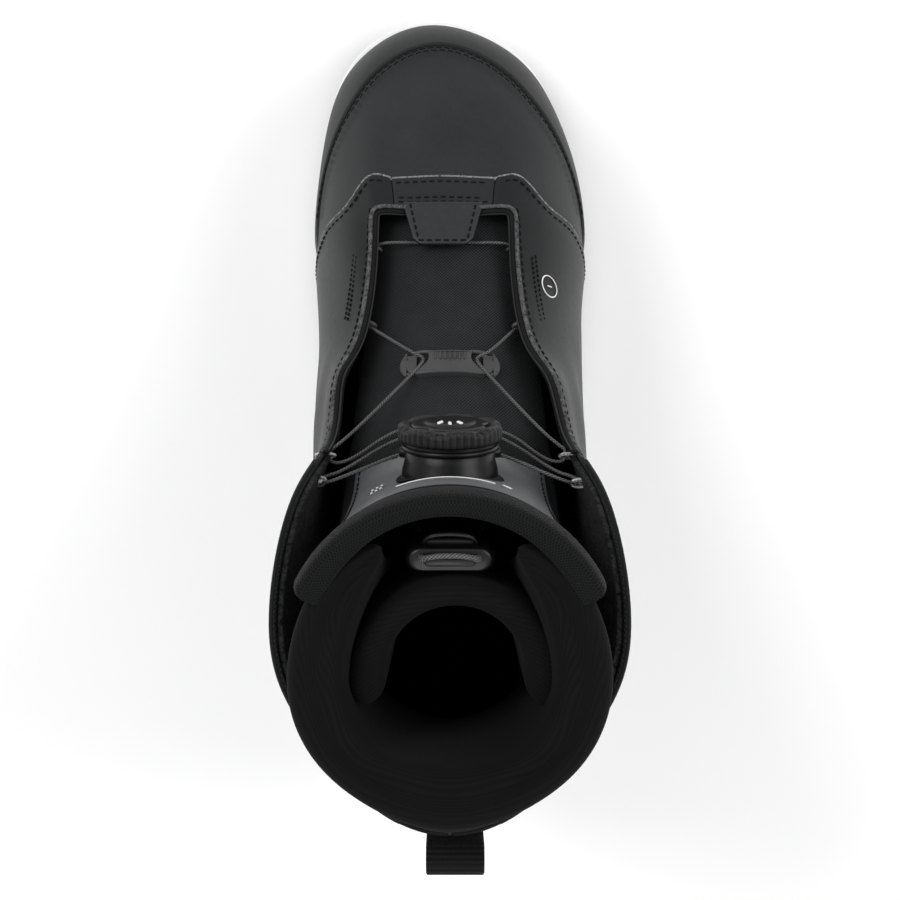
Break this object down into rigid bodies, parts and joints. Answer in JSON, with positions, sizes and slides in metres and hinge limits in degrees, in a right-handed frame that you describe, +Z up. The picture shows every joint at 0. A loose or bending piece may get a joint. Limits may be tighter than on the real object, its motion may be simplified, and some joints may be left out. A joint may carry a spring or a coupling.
{
  "type": "snowboard boot",
  "caption": "Junior snowboard boot for the right foot with a dial-tightened lace, a padded tongue and a removable-style inner liner.",
  "frame": {"origin": "on the ground, below the centre of the boot's bounding box", "axes": "+Y to the toe, +X to the wearer's right (lateral side of this right boot), +Z up"},
  "size_m": [0.1138, 0.2988, 0.242],
  "materials": {
    "outsole_rubber": "matte moulded rubber",
    "midsole_foam": "white moulded foam",
    "board": "fibre board",
    "shell_synthetic": "matte synthetic leather",
    "quarter_synthetic": "satin coated textile, cool grey sheen",
    "binding_felt": "cut felt edge",
    "lining_fleece": "brushed fleece",
    "tongue_fabric": "fine diagonal weave",
    "shin_satin": "satin coated textile",
    "collar_mesh": "diamond air mesh",
    "dial_plastic": "glossy moulded plastic",
    "dial_rubber": "ribbed rubber",
    "steel": "brushed steel",
    "webbing": "woven webbing",
    "cord": "braided cord",
    "liner_foam": "foam with a knit cover",
    "guide_plastic": "matte moulded nylon"
  },
  "bodies": {
    "boot": {"outsole_forefoot": "outsole_rubber", "outsole_heel": "outsole_rubber", "midsole": "midsole_foam", "lasting_board": "board", "liner_sole": "liner_foam", "footbed": "liner_foam", "toe_rand": "shell_synthetic", "toe_box": "shell_synthetic", "throat_bridge": "shell_synthetic", "lateral_quarter": "quarter_synthetic", "lateral_ankle_panel": "shell_synthetic", "lateral_heel_panel": "shell_synthetic", "lateral_cuff": "shell_synthetic", "lateral_eyestay": "binding_felt", "lateral_cuff_binding": "binding_felt", "lateral_quarter_lining": "lining_fleece", "lateral_heel_lining": "lining_fleece", "lateral_cuff_lining": "lining_fleece", "medial_quarter": "quarter_synthetic", "medial_ankle_panel": "shell_synthetic", "medial_heel_panel": "shell_synthetic", "medial_cuff": "shell_synthetic", "medial_eyestay": "binding_felt", "medial_cuff_binding": "binding_felt", "medial_quarter_lining": "lining_fleece", "medial_heel_lining": "lining_fleece", "medial_cuff_lining": "lining_fleece", "toe_lining": "lining_fleece", "heel_counter": "shell_synthetic", "backstay": "shell_synthetic", "throat_tab": "shell_synthetic", "tongue_lower": "tongue_fabric", "side_webbing_loops": "webbing", "eyestay_guides": "guide_plastic", "centre_guide": "guide_plastic", "lace": "cord", "liner_vamp": "liner_foam", "liner_lateral_heel": "liner_foam", "liner_medial_heel": "liner_foam", "liner_cuff": "liner_foam", "liner_tongue": "liner_foam", "liner_harness_cord": "cord"},
    "tongue_top": {"tongue_upper": "tongue_fabric", "shin_panel": "shin_satin", "tongue_collar": "collar_mesh", "dial_pad": "dial_rubber", "reel_base": "dial_plastic", "dial_housing": "dial_plastic", "dial_screw": "steel"},
    "spool": {"lace_spool": "dial_plastic"},
    "sleeve": {"knob_sleeve": "steel"},
    "knob": {"knob_core": "dial_plastic", "knob_grip": "dial_rubber", "knob_cap": "dial_plastic", "pawl_disc": "dial_plastic"},
    "heel_loop": {"heel_pull_loop": "webbing"},
    "lace_lock": {"liner_lock_body": "guide_plastic"},
    "lock_button": {"liner_lock_button": "guide_plastic"}
  },
  "joints": [
    {"name": "tongue_flex", "type": "hinge", "parent": "boot", "child": "tongue_top", "pos_m": [0, -0.0046, 0.14057], "axis": [-1, 0, 0], "range_deg": [0, 12], "stiffness_Nm_per_rad": 0.4, "deforming": ["lace"]},
    {"name": "knob_pull", "type": "slide", "parent": "tongue_top", "child": "sleeve", "axis": [0, 0.9781, 0.2079], "range_m": [0, 0.0028]},
    {"name": "knob_turn", "type": "hinge", "parent": "sleeve", "child": "knob", "pos_m": [0, -0.02666, 0.174], "axis": [0, 0.9781, 0.2079], "continuous": true},
    {"name": "spool_turn", "type": "hinge", "parent": "tongue_top", "child": "spool", "pos_m": [0, -0.02666, 0.174], "axis": [0, 0.9781, 0.2079], "continuous": true},
    {"name": "heel_loop_lift", "type": "hinge", "parent": "boot", "child": "heel_loop", "pos_m": [0, -0.1444, 0.209], "axis": [-1, 0, 0], "range_deg": [0, 140]},
    {"name": "lock_slide", "type": "slide", "parent": "boot", "child": "lace_lock", "axis": [0, 0.2419, -0.9703], "range_m": [0, 0.018], "deforming": ["liner_harness_cord"]},
    {"name": "lock_press", "type": "slide", "parent": "lace_lock", "child": "lock_button", "axis": [0, 0.2419, -0.9703], "range_m": [0, 0.0025], "stiffness_N_per_m": 300, "springref_m": -0.002}
  ],
  "couplings": [
    {"joint": "spool_turn", "follows": "knob_turn", "ratio": 1}
  ]
}
